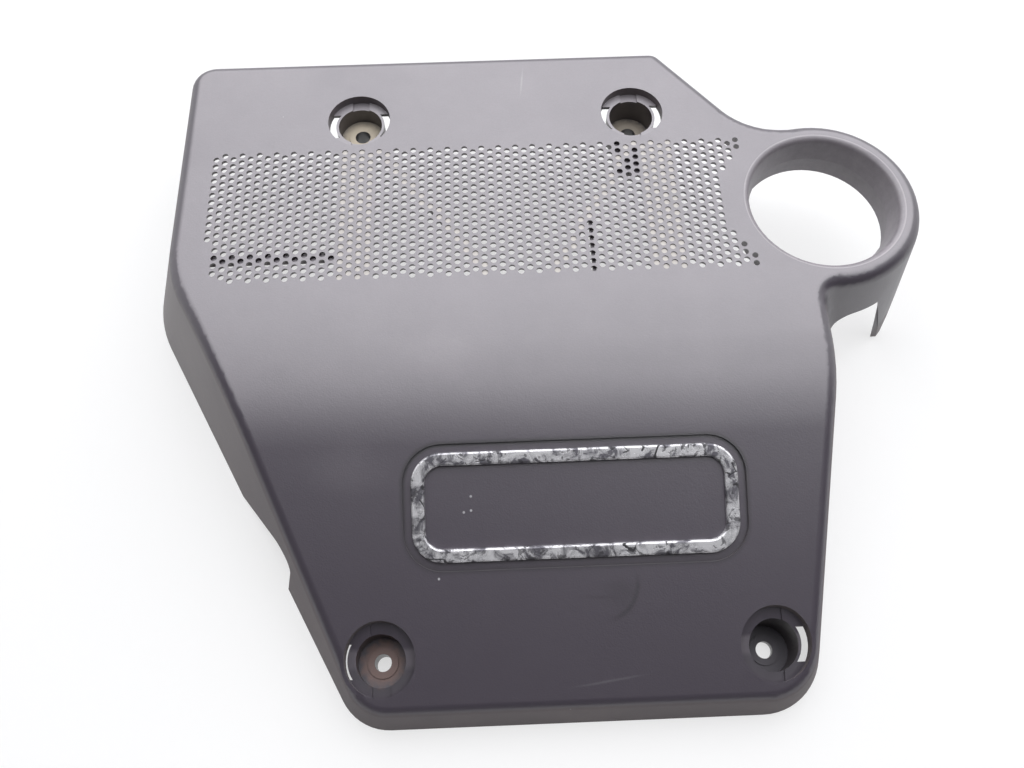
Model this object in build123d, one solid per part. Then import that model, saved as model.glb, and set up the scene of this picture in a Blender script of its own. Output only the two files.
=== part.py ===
"""Engine cover: one plastic moulding with a chrome-plated badge frame, in millimetres.

X runs along the rows of the perforated field, Y to the rear of the engine bay, Z up. Places are
measured from the middle of the perforated field, with Z = 0 on the surface that the skirt rests on.
At the end both pieces are moved so that the origin lies under the middle of the cover.
"""
import os
from math import cos, hypot, radians, sin, sqrt, tan

from build123d import *

# Moulding
WALL = 2.5
EDGE_ROUND = 8.5
SKIRT_DRAFT = 16.5
LEFT_DRAFT = 23.0

# Side profile of the top panel: flat at the rear, then a bend, then a slope down to the front
PANEL_HEIGHT = 84.0
BEND_START_Y = -45.0
BEND_RADIUS = 263.0
FRONT_SLOPE = 20.0

# Plan outline of the skirt where it meets the floor: how far out each side lies, the turn of the
# slanting ones, and where along the right side two of them start
FRONT_REACH = 271.0
RIGHT_REACH = 204.0
RIGHT_FRONT_START_Y = -104.8
RIGHT_FRONT_ANGLE = -14.0
REAR_RIGHT_START_Y = 28.1
REAR_RIGHT_ANGLE = 38.7
REAR_REACH = 137.5
LEFT_REACH = 215.5
LEFT_FRONT_REACH = 200.4
LEFT_FRONT_ANGLE = 208.5
FRONT_RIGHT_ROUND = 36.0
RIGHT_ROUND = 150.0
REAR_RIGHT_ROUND = 32.0
REAR_LEFT_ROUND = 16.0
LEFT_ROUND = 75.0
FRONT_LEFT_ROUND = 30.0

# Filler collar in the right side: flared outside, with a rounded mouth, a funnel and a neck inside
COLLAR_INSET = 13.7
COLLAR_Y = -1.8
COLLAR_RADIUS = 54.5
COLLAR_DRAFT = 10.0
COLLAR_REAR_BLEND = 45.0
COLLAR_FRONT_BLEND = 9.0
MOUTH_RADIUS = 46.2
MOUTH_DIP = 1.0
MOUTH_ROUND = 4.0
FUNNEL_RADIUS = 43.0
LIP_RADIUS = 40.1
LIP_DEPTH = 14.5
NECK_RADIUS = 42.0
NECK_DEPTH = 28.0

# Gaps along the foot of the skirt
REAR_GAP_HEIGHT = 48.0
REAR_GAP_START_Y = 35.0
REAR_GAP_RAMP = 45.0
REAR_GAP_TAB_INSET = 13.7
REAR_GAP_TAB_LEAN = 29.0
HOSE_GAP_Y = -139.0
HOSE_GAP_RAMP = 48.0
HOSE_GAP_LENGTH = 63.0
HOSE_GAP_HEIGHT = 31.5
HOSE_GAP_CROWN = 25.0
HOSE_GAP_ROUND = 7.0
FILLER_GAP_MARGIN = 3.0
FILLER_GAP_REACH = 32.0
FILLER_GAP_LEAN = 20.3
FILLER_GAP_HEIGHT = 53.0
FILLER_GAP_ROUND = 12.0

# Fixing pots: a counterbore with a ledge for a cap, then a cup with a bolt hole and its sleeve
REAR_POT_Y = 66.0
REAR_LEFT_POT_X = -77.5
REAR_RIGHT_POT_X = 86.0
FRONT_POT_Y = -238.5
FRONT_LEFT_POT_X = -66.0
FRONT_RIGHT_POT_X = 138.7
REAR_LEFT_POT_DEPTH = 16.2
REAR_RIGHT_POT_DEPTH = 21.5
FRONT_LEFT_POT_DEPTH = 15.0
FRONT_RIGHT_POT_DEPTH = 26.0
POT_RADIUS = 18.5
POT_WALL = 2.0
LEDGE_DEPTH = 5.0
CUP_RADIUS = 13.0
CUP_WALL = 1.5
CUP_FLOOR = 3.0
SEAT_RADIUS = 8.0
SEAT_HEIGHT = 0.8
BOLT_RADIUS = 4.5
SLEEVE_WALL = 2.5
SLEEVE_LENGTH = 8.0
SLEEVE_CLEARANCE = 1.5
WINDOW_WIDTH = 17.0
NOTCH_WIDTH = 10.0
NOTCH_DEPTH = 1.0

# Perforated field: staggered columns of holes, of which the solid carries every second one each way
HOLE_PITCH = 5.0
HOLE_RADIUS = 1.7
HOLE_SIDES = 6
FIELD_COLUMNS = 62
FIELD_ROWS = 18
FIELD_MIDDLE_COLUMN = 32
FIELD_COLLAR_CLEARANCE = 58.3
FIELD_LEFT_LEAN = 12.5
FIELD_LEFT_REACH = 160.0

# Underside straps and ribs, which close the holes above them
LEFT_STRAP_X = -77.5
RIGHT_STRAP_X = 97.5
STRAP_WIDTH = 20.0
STRAP_DEPTH = 2.0
LEFT_RIB_FOOT_X = 0.0
RIGHT_RIB_FOOT_X = 32.0
STRAIGHT_RIB_X = 55.7
STRAIGHT_RIB_START_Y = -5.0
RIB_WIDTH = 2.0
RIB_DEPTH = 8.0
RIB_BITE = 0.3
CROSS_STRAP_Y = -27.9
CROSS_STRAP_LENGTH = 72.0
CROSS_STRAP_WIDTH = 5.0
POT_STRAP_X = 82.0
POT_STRAP_END_Y = 22.0

# Badge frame and the recess that it lies in, on the sloping face
BADGE_X = 38.0
BADGE_Y = -167.0
BADGE_LENGTH = 171.0
BADGE_HEIGHT = 57.0
BADGE_BAND = 7.0
BADGE_ROUND = 16.0
BADGE_THICKNESS = 2.6
BADGE_CROWN = 1.2
RECESS_MARGIN = 4.5
RECESS_DEPTH = 1.4
PIN_RADIUS = 1.8
PIN_LENGTH = 7.0
PIN_CLEARANCE = 0.2

# Longer than the cover each way, for solids that reach past it
REACH = 600.0


def collar_x():
    """Place of the filler collar's middle, which lies just inside the right side."""
    return RIGHT_REACH - COLLAR_INSET


def panel_z(y):
    """Height of the top panel's surface at a place along Y."""
    slope = radians(FRONT_SLOPE)
    bend_end_y = BEND_START_Y - BEND_RADIUS * sin(slope)
    if y >= BEND_START_Y:
        return PANEL_HEIGHT
    if y >= bend_end_y:
        return PANEL_HEIGHT - BEND_RADIUS + (BEND_RADIUS**2 - (BEND_START_Y - y) ** 2) ** 0.5
    return PANEL_HEIGHT - BEND_RADIUS * (1 - cos(slope)) - (bend_end_y - y) * tan(slope)


def under_panel(drop=0.0):
    """Solid of everything under the top panel's surface, lowered by drop along the surface normal."""
    slope = radians(FRONT_SLOPE)
    height = PANEL_HEIGHT - drop
    radius = BEND_RADIUS - drop
    bend_start = (BEND_START_Y, height)
    bend_middle = (BEND_START_Y - radius * sin(slope / 2), height - radius * (1 - cos(slope / 2)))
    bend_end = (BEND_START_Y - radius * sin(slope), height - radius * (1 - cos(slope)))
    front_end = (bend_end[0] - REACH, bend_end[1] - REACH * tan(slope))
    outline = [
        Line((REACH, height), bend_start),
        ThreePointArc(bend_start, bend_middle, bend_end),
        Polyline(bend_end, front_end, (front_end[0], -REACH), (REACH, -REACH), (REACH, height)),
    ]
    return extrude(Plane.YZ * make_face(outline), REACH, both=True)


def reach_from_right(angle, start_y):
    """Reach of a slanting side that starts on the right side at start_y."""
    turn = radians(angle)
    return RIGHT_REACH * cos(turn) + start_y * sin(turn)


def sides():
    """Outward angle of each side of the skirt, its reach and the round between it and the next one."""
    right_front_reach = reach_from_right(RIGHT_FRONT_ANGLE, RIGHT_FRONT_START_Y)
    rear_right_reach = reach_from_right(REAR_RIGHT_ANGLE, REAR_RIGHT_START_Y)
    return (
        (-90.0, FRONT_REACH, FRONT_RIGHT_ROUND),
        (RIGHT_FRONT_ANGLE, right_front_reach, RIGHT_ROUND),
        (0.0, RIGHT_REACH, 0.0),
        (REAR_RIGHT_ANGLE, rear_right_reach, REAR_RIGHT_ROUND),
        (90.0, REAR_REACH, 0.0),
        (180.0, LEFT_REACH + WALL, 0.0),
        (LEFT_FRONT_ANGLE, LEFT_FRONT_REACH, FRONT_LEFT_ROUND),
    )


def crossing(angle, reach, other_angle, other_reach):
    """Point where two sides meet, each given by its outward angle and its reach."""
    turn = radians(other_angle - angle)
    along = (other_reach - reach * cos(turn)) / sin(turn)
    out = radians(angle)
    return Vector(reach * cos(out) - along * sin(out), reach * sin(out) + along * cos(out))


def panel_outline():
    """Plan outline of the panel's skirt at floor level, rounded where both sides have the same draft."""
    around = sides()
    following = around[1:] + around[:1]
    corners = [crossing(*side[:2], *other[:2]) for side, other in zip(around, following)]
    outline = make_face(Polyline(*corners, close=True))
    for corner, (_, _, radius) in zip(corners, around):
        if radius:
            outline = fillet(outline.vertices().sort_by_distance(corner)[0], radius)
    return outline


def upright(edges):
    """The edges that rise by more than half of the cover's height, the front one first."""
    rising = edges.filter_by(lambda edge: abs((edge @ 0).Z - (edge @ 1).Z) > PANEL_HEIGHT / 2)
    return rising.sort_by(Axis.Y)


def panel_block(inset):
    """Tapered block under the panel, with its steeper left side cut and rounded."""
    outline = panel_outline()
    if inset:
        outline = offset(outline, -inset / cos(radians(SKIRT_DRAFT)))
    solid = extrude(outline, PANEL_HEIGHT, taper=SKIRT_DRAFT)
    lean = radians(LEFT_DRAFT)
    left_side = Plane(origin=(-LEFT_REACH, 0, 0), x_dir=(0, 1, 0), z_dir=(-cos(lean), 0, sin(lean)))
    solid = split(solid, bisect_by=left_side.offset(-inset), keep=Keep.BOTTOM)
    for place, radius in ((0, LEFT_ROUND), (-1, REAR_LEFT_ROUND)):
        left_face = solid.faces().sort_by(Axis.X)[0]
        solid = fillet(upright(left_face.edges())[place], radius - inset)
    return solid


def collar_foot():
    """Radius of the collar's outside where it meets the floor."""
    return COLLAR_RADIUS + PANEL_HEIGHT * tan(radians(COLLAR_DRAFT))


def collar_cone(inset):
    """Solid flared cone around the filler mouth, its wall moved in by inset."""
    across = inset / cos(radians(COLLAR_DRAFT))
    cone = Cone(collar_foot() - across, COLLAR_RADIUS - across, PANEL_HEIGHT)
    return Pos(collar_x(), COLLAR_Y, PANEL_HEIGHT / 2) * cone


def collar_seams(solid):
    """Upright edges where the collar's cone meets the panel's skirt, the front one first."""
    return upright(solid.edges().filter_by(GeomType.ELLIPSE))


def top_rim(solid):
    """Edges around the top panel's faces, without those between two of them."""
    tops = solid.faces().filter_by(lambda face: face.normal_at().Z > 0.5)
    edges = [edge for face in tops for edge in face.edges()]
    return [edge for edge in edges if sum(edge.is_same(other) for other in edges) == 1]


def block(inset=0.0):
    """Solid form of the cover, with every outer surface moved in by inset.

    The inner form has a bevel along its top rim that touches the middle of the outer round's offset.
    """
    solid = panel_block(inset) + collar_cone(inset)
    solid = fillet(collar_seams(solid)[-1], COLLAR_REAR_BLEND + inset)
    solid = fillet(collar_seams(solid)[0], COLLAR_FRONT_BLEND + inset)
    solid = (solid & under_panel(inset)).solid()
    if inset:
        return chamfer(top_rim(solid), (EDGE_ROUND - inset) * (2 - sqrt(2)))
    return fillet(top_rim(solid), EDGE_ROUND)


def rear_gap():
    """Space under the short rear skirt, from a ramp on the left side to a leaning end under the collar."""
    ramp_end_y = REAR_GAP_START_Y + REAR_GAP_RAMP
    ramp_low_y = REAR_GAP_START_Y - REAR_GAP_RAMP
    high = REAR_GAP_HEIGHT
    ramp = Polyline((ramp_low_y, -high), (ramp_end_y, high), (REACH, high), (REACH, -high), close=True)
    left = Pos(-LEFT_REACH, 0, 0) * extrude(Plane.YZ * make_face(ramp), LEFT_REACH / 2, both=True)
    corner = (Align.MIN, Align.MIN, Align.CENTER)
    across = Pos(0, REAR_GAP_START_Y, 0) * Box(collar_x() + WALL, REACH, 2 * high, align=corner)
    middle = Pos(-LEFT_REACH / 2, ramp_end_y, 0) * Box(LEFT_REACH, REACH, 2 * high, align=corner)
    tab_high_y = COLLAR_Y - REAR_GAP_TAB_INSET
    tab_low_y = tab_high_y - 2 * REAR_GAP_TAB_LEAN
    end = Polyline((tab_low_y, -high), (tab_high_y, high), (REACH, high), (REACH, -high), close=True)
    right = Pos(collar_x(), 0, 0) * extrude(Plane.YZ * make_face(end), REACH)
    return left + across + middle + right


def hose_gap():
    """Gap in the slanting left skirt, with a long ramp at its rear end and an upright front end."""
    out = Vector(1, 0, 0).rotate(Axis.Z, LEFT_FRONT_ANGLE)
    start = crossing(LEFT_FRONT_ANGLE, LEFT_FRONT_REACH, -90.0, -HOSE_GAP_Y)
    face = Plane(origin=start, x_dir=Vector(0, 0, 1).cross(out), z_dir=out)
    low = (-HOSE_GAP_RAMP / 2, -HOSE_GAP_HEIGHT / 2)
    crown = (HOSE_GAP_RAMP, HOSE_GAP_HEIGHT)
    front = (HOSE_GAP_LENGTH, HOSE_GAP_HEIGHT)
    gap = make_face(Polyline(low, (HOSE_GAP_LENGTH, low[1]), front, crown, close=True))
    gap = fillet(gap.vertices().sort_by_distance(Vector(*crown, 0))[0], HOSE_GAP_CROWN)
    gap = fillet(gap.vertices().sort_by_distance(Vector(*front, 0))[0], HOSE_GAP_ROUND)
    return extrude(face * gap, HOSE_GAP_HEIGHT, both=True)


def filler_gap():
    """Gap in the front of the collar's skirt, along the panel's right side and with a leaning end."""
    low = -FILLER_GAP_HEIGHT
    lean = FILLER_GAP_HEIGHT * tan(radians(SKIRT_DRAFT))
    left_x = RIGHT_REACH + FILLER_GAP_MARGIN
    right_x = collar_x() + FILLER_GAP_REACH
    corner = (left_x - lean, FILLER_GAP_HEIGHT)
    outline = Polyline(
        (left_x + lean, low),
        corner,
        (right_x, FILLER_GAP_HEIGHT),
        (right_x + 2 * FILLER_GAP_LEAN, low),
        close=True,
    )
    gap = make_face(outline)
    gap = fillet(gap.vertices().sort_by_distance(Vector(*corner, 0))[0], FILLER_GAP_ROUND)
    inner_y = COLLAR_Y - NECK_RADIUS - 2 * WALL
    front_y = COLLAR_Y - collar_foot() - WALL
    return Pos(0, inner_y, 0) * extrude(Plane.XZ * gap, inner_y - front_y)


def shell():
    """The cover's wall: the outer form less the inner one and the skirt's gaps."""
    return block() - block(WALL) - rear_gap() - hose_gap() - filler_gap()


def funnel_body():
    """Turned plug that carries the filler funnel and its neck, still solid inside."""
    lip = PANEL_HEIGHT - LIP_DEPTH
    foot = PANEL_HEIGHT - NECK_DEPTH
    head = PANEL_HEIGHT - WALL / 2
    neck = NECK_RADIUS + WALL
    mouth = MOUTH_RADIUS + WALL
    section = Polyline((0, foot), (neck, foot), (neck, lip), (mouth, head), (0, head), close=True)
    return Pos(collar_x(), COLLAR_Y, 0) * revolve(Plane.XZ * make_face(section), Axis.Z)


def funnel_hollow():
    """Space in the filler: a shallow dip at the mouth, a round into the funnel, the lip and the neck."""
    lip = PANEL_HEIGHT - LIP_DEPTH
    foot = PANEL_HEIGHT - NECK_DEPTH - WALL
    throat = (FUNNEL_RADIUS, PANEL_HEIGHT - MOUTH_DIP)
    outer = (2 * MOUTH_RADIUS - FUNNEL_RADIUS, PANEL_HEIGHT + MOUTH_DIP)
    neck = [(LIP_RADIUS, lip), (NECK_RADIUS, lip - WALL / 2), (NECK_RADIUS, foot), (0, foot)]
    section = make_face(Polyline((0, outer[1]), outer, throat, *neck, close=True))
    section = fillet(section.vertices().sort_by_distance(Vector(*throat, 0))[0], MOUTH_ROUND)
    return Pos(collar_x(), COLLAR_Y, 0) * revolve(Plane.XZ * section, Axis.Z)


def pots():
    """Place of each fixing pot, the depth of its seat and the sides on which its ledge is open."""
    return (
        (REAR_LEFT_POT_X, REAR_POT_Y, REAR_LEFT_POT_DEPTH, (-1, 1)),
        (REAR_RIGHT_POT_X, REAR_POT_Y, REAR_RIGHT_POT_DEPTH, (-1, 1)),
        (FRONT_LEFT_POT_X, FRONT_POT_Y, FRONT_LEFT_POT_DEPTH, (-1,)),
        (FRONT_RIGHT_POT_X, FRONT_POT_Y, FRONT_RIGHT_POT_DEPTH, (1,)),
    )


def pillar(x, y, radius, foot=0.0, head=REACH / 2):
    """Upright cylinder between two heights."""
    return Pos(x, y, (foot + head) / 2) * Cylinder(radius, head - foot)


def sleeve_foot(y, depth):
    """Height of the lower end of one pot's bolt sleeve."""
    return max(panel_z(y) - depth - CUP_FLOOR - SLEEVE_LENGTH, SLEEVE_CLEARANCE)


def pot_body(x, y, depth, open_sides):
    """Plastic of one pot: the ring that carries the ledge, the cup under it and the bolt sleeve."""
    seat = panel_z(y) - depth
    ring = pillar(x, y, POT_RADIUS + POT_WALL) - under_panel(LEDGE_DEPTH + POT_WALL)
    cup = pillar(x, y, CUP_RADIUS + CUP_WALL, seat - CUP_FLOOR)
    sleeve = pillar(x, y, BOLT_RADIUS + SLEEVE_WALL, sleeve_foot(y, depth), seat)
    return (ring + cup + sleeve) & under_panel(RIB_BITE)


def pot_hollow(x, y, depth, open_sides):
    """Space in one pot: counterbore, ledge windows and notches, cup, seat and bolt hole."""
    seat = panel_z(y) - depth
    bore = pillar(x, y, POT_RADIUS)
    counterbore = bore - under_panel(LEDGE_DEPTH)
    notch_band = Pos(x, y, 0) * Box(NOTCH_WIDTH, REACH, REACH)
    notches = (bore - under_panel(LEDGE_DEPTH + NOTCH_DEPTH)) & notch_band
    ledge = bore - pillar(x, y, CUP_RADIUS + CUP_WALL) - under_panel(LEDGE_DEPTH + 2 * POT_WALL)
    half_band = Box(2 * POT_RADIUS, WINDOW_WIDTH, REACH)
    windows = [ledge & (Pos(x + side * POT_RADIUS, y, 0) * half_band) for side in open_sides]
    cup = pillar(x, y, CUP_RADIUS, seat) - pillar(x, y, SEAT_RADIUS, seat, seat + SEAT_HEIGHT)
    bolt = pillar(x, y, BOLT_RADIUS, sleeve_foot(y, depth) - SLEEVE_CLEARANCE)
    return counterbore + notches + windows + cup + bolt


def hole_places():
    """Centres of the holes that the solid carries, staggered like the whole field."""
    lean = radians(FIELD_LEFT_LEAN)
    for step, column in enumerate(range(1, FIELD_COLUMNS, 2)):
        x = (column - FIELD_MIDDLE_COLUMN) * HOLE_PITCH
        for row in range(step % 2, FIELD_ROWS, 2):
            y = ((FIELD_ROWS - 1) / 2 - row) * HOLE_PITCH
            clear_of_collar = hypot(x - collar_x(), y) >= FIELD_COLLAR_CLEARANCE
            clear_of_left = -x * cos(lean) - y * sin(lean) <= FIELD_LEFT_REACH
            if clear_of_collar and clear_of_left:
                yield x, y


def perforation():
    """Prisms that cut the perforated field."""
    hole = extrude(RegularPolygon(HOLE_RADIUS, HOLE_SIDES), 4 * WALL)
    return [Pos(x, y, PANEL_HEIGHT - 2 * WALL) * hole for x, y in hole_places()]


def bar(start, end, width, depth):
    """Straight bar between two places, hanging from the panel's underside."""
    along = Vector(*end) - Vector(*start)
    middle = (Vector(*start) + Vector(*end)) / 2
    lie = Plane(origin=middle, x_dir=along, z_dir=(0, 0, 1))
    prism = lie * Box(along.length, width, REACH)
    return (prism & under_panel(WALL - RIB_BITE)) - under_panel(WALL + depth)


def ribs():
    """Straps in front of the rear pots and to the left, and the ribs from those pots to the bend."""
    strap_start_y = REAR_POT_Y - POT_RADIUS - POT_WALL / 2
    left_rib_start = (REAR_LEFT_POT_X + STRAP_WIDTH / 2, strap_start_y)
    right_rib_start = (REAR_RIGHT_POT_X, strap_start_y)
    straight_rib_start = (STRAIGHT_RIB_X, STRAIGHT_RIB_START_Y)
    cross_start = (LEFT_STRAP_X, CROSS_STRAP_Y)
    cross_end = (LEFT_STRAP_X - STRAP_WIDTH / 2 - CROSS_STRAP_LENGTH, CROSS_STRAP_Y)
    return [
        bar((LEFT_STRAP_X, strap_start_y), (LEFT_STRAP_X, BEND_START_Y), STRAP_WIDTH, STRAP_DEPTH),
        bar((RIGHT_STRAP_X, strap_start_y), (RIGHT_STRAP_X, BEND_START_Y), STRAP_WIDTH, STRAP_DEPTH),
        bar(left_rib_start, (LEFT_RIB_FOOT_X, BEND_START_Y), RIB_WIDTH, RIB_DEPTH),
        bar(right_rib_start, (RIGHT_RIB_FOOT_X, BEND_START_Y), RIB_WIDTH, RIB_DEPTH),
        bar(straight_rib_start, (STRAIGHT_RIB_X, BEND_START_Y), RIB_WIDTH, RIB_DEPTH),
        bar(cross_start, cross_end, CROSS_STRAP_WIDTH, STRAP_DEPTH),
        bar((POT_STRAP_X, strap_start_y), (POT_STRAP_X, POT_STRAP_END_Y), STRAP_WIDTH, STRAP_DEPTH),
    ]


def badge_plane(lift=0.0):
    """Plane of the sloping face at the badge, raised by lift along its normal."""
    slope = radians(FRONT_SLOPE)
    middle = (BADGE_X, BADGE_Y, panel_z(BADGE_Y))
    face = Plane(origin=middle, x_dir=(1, 0, 0), z_dir=(0, -sin(slope), cos(slope)))
    return face.offset(lift)


def badge_slab(margin, low, high):
    """Rounded slab around the badge's outline, between two heights over the sloping face."""
    length = BADGE_LENGTH + 2 * margin
    height = BADGE_HEIGHT + 2 * margin
    outline = RectangleRounded(length, height, BADGE_ROUND + margin)
    return extrude(badge_plane(low) * outline, high - low)


def pin_places():
    """Places of the badge's pins on its band: the middle of each side."""
    half_length = (BADGE_LENGTH - BADGE_BAND) / 2
    half_height = (BADGE_HEIGHT - BADGE_BAND) / 2
    return (half_length, 0), (-half_length, 0), (0, half_height), (0, -half_height)


def badge_pins(radius, low, high):
    """Round pins behind the badge, between two heights over the sloping face."""
    pins = [Pos(x, y) * Circle(radius) for x, y in pin_places()]
    return [extrude(badge_plane(low) * pin, high - low) for pin in pins]


def build_badge():
    """Chrome-plated frame with sloped edges, and the pins that hold it in the recess."""
    foot = -RECESS_DEPTH
    head = foot + BADGE_THICKNESS
    frame = badge_slab(0, foot, head) - badge_slab(-BADGE_BAND, foot, head)
    face = frame.faces().sort_by(Axis((0, 0, 0), badge_plane().z_dir))[-1]
    frame = chamfer(face.edges(), BADGE_CROWN)
    return frame + badge_pins(PIN_RADIUS, foot - PIN_LENGTH, foot)


def build_cover():
    """The whole moulding."""
    recess_pad = badge_slab(RECESS_MARGIN + WALL, -WALL - RECESS_DEPTH, -WALL + RIB_BITE)
    recess = badge_slab(RECESS_MARGIN, -RECESS_DEPTH, 2 * WALL)
    pin_holes = badge_pins(PIN_RADIUS + PIN_CLEARANCE, -PIN_LENGTH, WALL)
    cover = shell() + funnel_body() - funnel_hollow() + recess_pad
    cover = cover + [pot_body(*pot) for pot in pots()]
    cover = cover - [pot_hollow(*pot) for pot in pots()]
    cover = cover - recess - pin_holes
    cover = cover - perforation()
    return cover + ribs()


def main():
    cover = build_cover()
    badge = build_badge()
    box = cover.bounding_box()
    to_origin = Pos(-box.center().X, -box.center().Y, -box.min.Z)
    os.makedirs("parts", exist_ok=True)
    export_step(to_origin * cover, "parts/cover.step")
    export_step(to_origin * badge, "parts/badge_trim.step")


if __name__ == "__main__":
    main()
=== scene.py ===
"""Looks of a moulded engine cover with a chrome-plated badge frame, laid out as a Blender add-on.

Lengths are in metres, in the frame of the packed model: X along the rows of the perforated field,
Y to the rear edge, Z up from the surface that the skirt rests on.
"""

from math import atan2, cos, hypot, pi, radians, sin

import bmesh
import bpy
from bpy.props import FloatProperty, FloatVectorProperty, IntProperty, PointerProperty
from mathutils import Euler, Matrix, Vector
from mathutils.geometry import intersect_point_line


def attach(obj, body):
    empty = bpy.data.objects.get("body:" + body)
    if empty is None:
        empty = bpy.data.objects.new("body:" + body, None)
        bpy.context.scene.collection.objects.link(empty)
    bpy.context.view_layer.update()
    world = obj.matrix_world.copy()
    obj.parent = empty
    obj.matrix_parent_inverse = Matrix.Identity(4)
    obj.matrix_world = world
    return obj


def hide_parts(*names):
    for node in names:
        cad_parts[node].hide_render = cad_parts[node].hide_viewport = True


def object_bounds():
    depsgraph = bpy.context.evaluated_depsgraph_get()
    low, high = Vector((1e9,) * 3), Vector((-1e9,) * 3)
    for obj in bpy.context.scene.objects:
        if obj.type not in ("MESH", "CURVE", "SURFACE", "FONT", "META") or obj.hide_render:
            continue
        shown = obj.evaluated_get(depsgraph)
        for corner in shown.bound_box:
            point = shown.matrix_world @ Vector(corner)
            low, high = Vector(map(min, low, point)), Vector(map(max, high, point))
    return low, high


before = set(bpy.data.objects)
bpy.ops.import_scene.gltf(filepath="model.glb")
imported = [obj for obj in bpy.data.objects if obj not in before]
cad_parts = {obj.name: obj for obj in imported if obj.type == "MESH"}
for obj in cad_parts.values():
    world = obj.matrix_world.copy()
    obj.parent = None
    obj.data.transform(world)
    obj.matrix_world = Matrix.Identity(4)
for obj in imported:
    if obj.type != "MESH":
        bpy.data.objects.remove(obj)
CAD_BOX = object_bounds()

bl_info = {
    "name": "Engine cover",
    "version": (1, 0, 0),
    "blender": (4, 5, 0),
    "location": "3D View > Sidebar > Engine cover",
    "description": "Dusty moulded engine cover with a perforated field and a flaking chrome badge frame",
    "category": "Object",
}

COLLAR_PLACE = (0.172476, 0.072059, 0.084)
SAME_PLACE = 1e-6
FOOT_TOLERANCE = 0.0002
FLAT_BEND = radians(0.4)
COVER_SHARP = radians(32)
BADGE_SHARP = radians(50)
SENSOR_WIDTH = 36.0
NEAREST_SEEN = 0.01

# Marks on the plastic: two ends of a line, or a middle, with a width or a reach along X, Y and Z
REAR_SCRATCH = ((0.0046, 0.1792, 0.084), (0.0015, 0.1516, 0.084))
FRONT_SCRATCH = ((0.0081, -0.1824, 0.024), (0.0599, -0.1759, 0.0264))
SCRATCH_WIDTH = 0.0009
DUST_SPOTS = (
    (-0.0382, -0.0954, 0.0545),
    (-0.0344, -0.0946, 0.0545),
    (-0.0343, -0.0877, 0.0572),
    (-0.0521, -0.1274, 0.044),
)
DUST_SPOT_REACH = (0.0008, 0.0008, 0.003)
SPECK_SPACING = 0.014
TRACE_MIDDLE = (0.0337, -0.133, 0.0)
TRACE_RADIUS = 0.017
WIPED_LINE = ((0.016, -0.1384, 0.04), (0.0447, -0.14, 0.0394))
WIPED_WIDTH = 0.0014
HAZE_MIDDLE = (0.0412, -0.137, 0.04)
HAZE_REACH = (0.012, 0.01, 0.02)
# Paler patches in the dust colour at the bend and on the slope: painted sheen.
BEND_SHEEN = ((-0.048, -0.016, 0.08), (0.034, 0.018, 0.02))
SLOPE_SHEEN = ((-0.096, -0.073, 0.064), (0.03, 0.02, 0.03))


def length(name, description, default):
    """Property for a length in metres."""
    return FloatProperty(name=name, description=description, default=default, unit="LENGTH", precision=5)


def place(name, description, default):
    """Property for a place in the cover's frame."""
    return FloatVectorProperty(
        name=name, description=description, default=default, subtype="TRANSLATION", precision=5
    )


def angle(name, description, degrees):
    """Property for an angle, with its default in degrees."""
    return FloatProperty(name=name, description=description, default=radians(degrees), subtype="ANGLE")


def colour(name, description, default):
    """Property for a linear colour."""
    return FloatVectorProperty(
        name=name, description=description, default=default, subtype="COLOR", min=0.0, max=1.0
    )


def share(name, description, default):
    """Property for a share between nothing and all."""
    return FloatProperty(
        name=name, description=description, default=default, subtype="FACTOR", min=0.0, max=1.0
    )


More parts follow.
